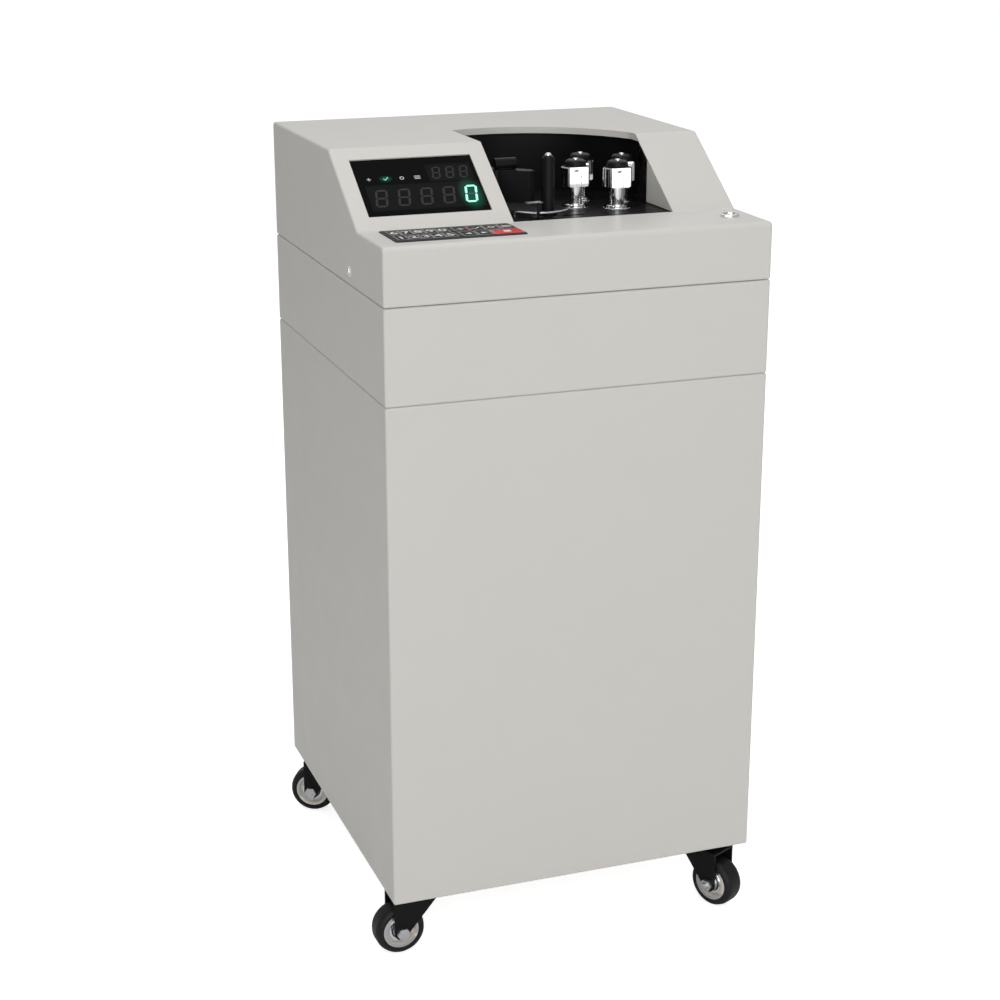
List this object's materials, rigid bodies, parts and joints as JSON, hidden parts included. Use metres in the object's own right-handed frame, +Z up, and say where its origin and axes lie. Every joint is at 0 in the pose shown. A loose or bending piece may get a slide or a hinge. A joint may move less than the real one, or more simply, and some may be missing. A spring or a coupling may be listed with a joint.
{
  "type": "banknote bundle counter",
  "caption": "Floor-standing vacuum banknote counter on swivel casters, with suction spindles on a turret in an open well, a hinged lid, digit display and flat keypad.",
  "frame": {"origin": "on the floor, under the middle of the machine", "axes": "+Z up, -Y out of the front, +X to the right as seen from the front"},
  "size_m": [0.4427, 0.4521, 0.8564],
  "materials": {
    "case_paint": "satin powder coat, light warm grey",
    "black_paint": "satin black coat",
    "chrome": "polished plating",
    "zinc": "bright zinc plate",
    "aluminium": "machined",
    "tyre": "smooth grey-black rubber",
    "wheel_core": "cream nylon",
    "black_plastic": "moulded black",
    "smoked_window": "dark smoked acrylic",
    "keypad_film": "printed overlay",
    "circuit_board": "solder mask",
    "hose_rubber": "smooth hose",
    "motor_paint": "hammer grey-blue coat",
    "cast_iron": "painted casting",
    "filter_bowl": "blue-grey bowl"
  },
  "bodies": {
    "case": {"cabinet_shell": "case_paint", "base_tray": "case_paint", "rear_panel": "case_paint", "case_screws": "zinc", "band_frame": "case_paint", "deck_plate": "zinc", "counting_table": "black_paint", "table_pillars": "zinc", "back_shroud": "black_paint", "note_post": "black_paint", "note_guides": "zinc", "clamp_solenoid": "motor_paint", "bearing_housing": "aluminium", "sun_gear": "zinc", "drive_motor": "motor_paint", "drive_belt": "hose_rubber", "rotary_union": "aluminium", "vacuum_pump": "cast_iron", "pump_motor": "motor_paint", "pump_mounts": "hose_rubber", "vacuum_filter": "filter_bowl", "vacuum_hose": "hose_rubber", "power_supply": "zinc", "control_board": "circuit_board", "power_inlet": "black_plastic", "band_hinge_leaves": "zinc", "caster_plates": "black_paint"},
    "lid": {"lid_shell": "case_paint", "display_window": "smoked_window", "display_board": "circuit_board", "keypad": "keypad_film", "lid_hinge_leaves": "zinc", "lid_screws": "zinc", "lock_body": "chrome"},
    "lock": {"lock_plug": "chrome"},
    "turret": {"turret_disc": "black_paint", "turret_shaft": "zinc"},
    "spindle_1": {"spindle_1": "chrome", "spindle_cap_1": "black_plastic"},
    "spindle_2": {"spindle_2": "chrome", "spindle_cap_2": "black_plastic"},
    "spindle_3": {"spindle_3": "chrome", "spindle_cap_3": "black_plastic"},
    "spindle_4": {"spindle_4": "chrome", "spindle_cap_4": "black_plastic"},
    "drive": {"motor_pulley": "aluminium"},
    "clamp": {"note_clamp": "black_paint"},
    "rocker": {"power_rocker": "black_plastic"},
    "swivel_front_left": {"caster_fork_front_left": "black_paint"},
    "wheel_front_left": {"wheel_core_front_left": "wheel_core", "wheel_tyre_front_left": "tyre"},
    "swivel_front_right": {"caster_fork_front_right": "black_paint"},
    "wheel_front_right": {"wheel_core_front_right": "wheel_core", "wheel_tyre_front_right": "tyre"},
    "swivel_rear_left": {"caster_fork_rear_left": "black_paint"},
    "wheel_rear_left": {"wheel_core_rear_left": "wheel_core", "wheel_tyre_rear_left": "tyre"},
    "swivel_rear_right": {"caster_fork_rear_right": "black_paint"},
    "wheel_rear_right": {"wheel_core_rear_right": "wheel_core", "wheel_tyre_rear_right": "tyre"}
  },
  "joints": [
    {"name": "lid_hinge", "type": "hinge", "parent": "case", "child": "lid", "pos_m": [0, 0.2188, 0.7274], "axis": [-1, 0, 0], "range_deg": [0, 75]},
    {"name": "lock_turn", "type": "hinge", "parent": "lid", "child": "lock", "pos_m": [0.182, -0.17, 0.7874], "axis": [0, 0, -1], "range_deg": [0, 90]},
    {"name": "turret_spin", "type": "hinge", "parent": "case", "child": "turret", "pos_m": [0.0865, -0.042, 0.7864], "axis": [0, 0, 1], "continuous": true},
    {"name": "spindle_1_spin", "type": "hinge", "parent": "turret", "child": "spindle_1", "pos_m": [0.11718, -0.03291, 0.7864], "axis": [0, 0, 1], "continuous": true},
    {"name": "spindle_2_spin", "type": "hinge", "parent": "turret", "child": "spindle_2", "pos_m": [0.07741, -0.01132, 0.7864], "axis": [0, 0, 1], "continuous": true},
    {"name": "spindle_3_spin", "type": "hinge", "parent": "turret", "child": "spindle_3", "pos_m": [0.05582, -0.05109, 0.7864], "axis": [0, 0, 1], "continuous": true},
    {"name": "spindle_4_spin", "type": "hinge", "parent": "turret", "child": "spindle_4", "pos_m": [0.09559, -0.07268, 0.7864], "axis": [0, 0, 1], "continuous": true},
    {"name": "motor_spin", "type": "hinge", "parent": "case", "child": "drive", "pos_m": [-0.0235, 0.053, 0.6045], "axis": [0, 0, 1], "continuous": true},
    {"name": "clamp_swing", "type": "hinge", "parent": "case", "child": "clamp", "pos_m": [-0.0305, -0.038, 0.7864], "axis": [0, 0, -1], "range_deg": [0, 18]},
    {"name": "rocker_tilt", "type": "hinge", "parent": "case", "child": "rocker", "pos_m": [-0.115, 0.2165, 0.1855], "axis": [1, 0, 0], "range_deg": [0, 16]},
    {"name": "swivel_front_left", "type": "hinge", "parent": "case", "child": "swivel_front_left", "pos_m": [-0.167, -0.176, 0.0765], "axis": [0, 0, 1], "continuous": true},
    {"name": "wheel_front_left", "type": "hinge", "parent": "swivel_front_left", "child": "wheel_front_left", "pos_m": [-0.19498, -0.17698, 0.028], "axis": [0.0349, -0.9994, 0], "continuous": true},
    {"name": "swivel_front_right", "type": "hinge", "parent": "case", "child": "swivel_front_right", "pos_m": [0.167, -0.176, 0.0765], "axis": [0, 0, 1], "continuous": true},
    {"name": "wheel_front_right", "type": "hinge", "parent": "swivel_front_right", "child": "wheel_front_right", "pos_m": [0.17971, -0.20095, 0.028], "axis": [0.891, 0.454, 0], "continuous": true},
    {"name": "swivel_rear_left", "type": "hinge", "parent": "case", "child": "swivel_rear_left", "pos_m": [-0.167, 0.176, 0.0765], "axis": [0, 0, 1], "continuous": true},
    {"name": "wheel_rear_left", "type": "hinge", "parent": "swivel_rear_left", "child": "wheel_rear_left", "pos_m": [-0.19125, 0.19, 0.028], "axis": [-0.5, -0.866, 0], "continuous": true},
    {"name": "swivel_rear_right", "type": "hinge", "parent": "case", "child": "swivel_rear_right", "pos_m": [0.167, 0.176, 0.0765], "axis": [0, 0, 1], "continuous": true},
    {"name": "wheel_rear_right", "type": "hinge", "parent": "swivel_rear_right", "child": "wheel_rear_right", "pos_m": [0.19125, 0.19, 0.028], "axis": [-0.5, 0.866, 0], "continuous": true}
  ],
  "couplings": [
    {"joint": "spindle_1_spin", "follows": "turret_spin", "ratio": 1},
    {"joint": "spindle_2_spin", "follows": "turret_spin", "ratio": 1},
    {"joint": "spindle_3_spin", "follows": "turret_spin", "ratio": 1},
    {"joint": "spindle_4_spin", "follows": "turret_spin", "ratio": 1},
    {"joint": "motor_spin", "follows": "turret_spin", "ratio": 2}
  ]
}
